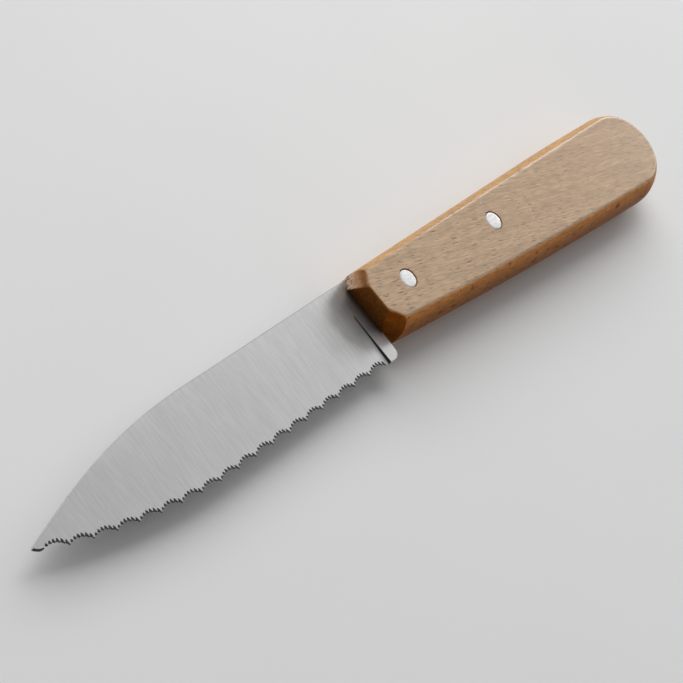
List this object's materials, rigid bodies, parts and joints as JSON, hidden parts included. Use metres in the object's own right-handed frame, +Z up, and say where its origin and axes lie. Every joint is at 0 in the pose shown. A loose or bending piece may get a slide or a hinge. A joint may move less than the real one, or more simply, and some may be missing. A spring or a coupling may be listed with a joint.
{
  "type": "serrated knife",
  "caption": "Serrated paring knife: a brushed steel blade with a scalloped, finely notched edge, riveted into a slim beech handle with a faceted front and a round butt.",
  "frame": {"origin": "on the flat underside of the handle, at mid length of the handle, on the line of the rivets", "axes": "+X along the knife from handle to point, +Y towards the cutting edge, +Z up out of the knife's side"},
  "size_m": [0.2013, 0.0202, 0.0105],
  "materials": {
    "blade_steel": "satin stainless steel, ground with fine lines from back to edge",
    "handle_beech": "varnished beech with short dark flecks along the grain",
    "rivet_metal": "matte pale metal, flush with the wood"
  },
  "bodies": {
    "root": {"blade": "blade_steel", "handle": "handle_beech", "front_rivet": "rivet_metal", "rear_rivet": "rivet_metal"}
  },
  "joints": []
}
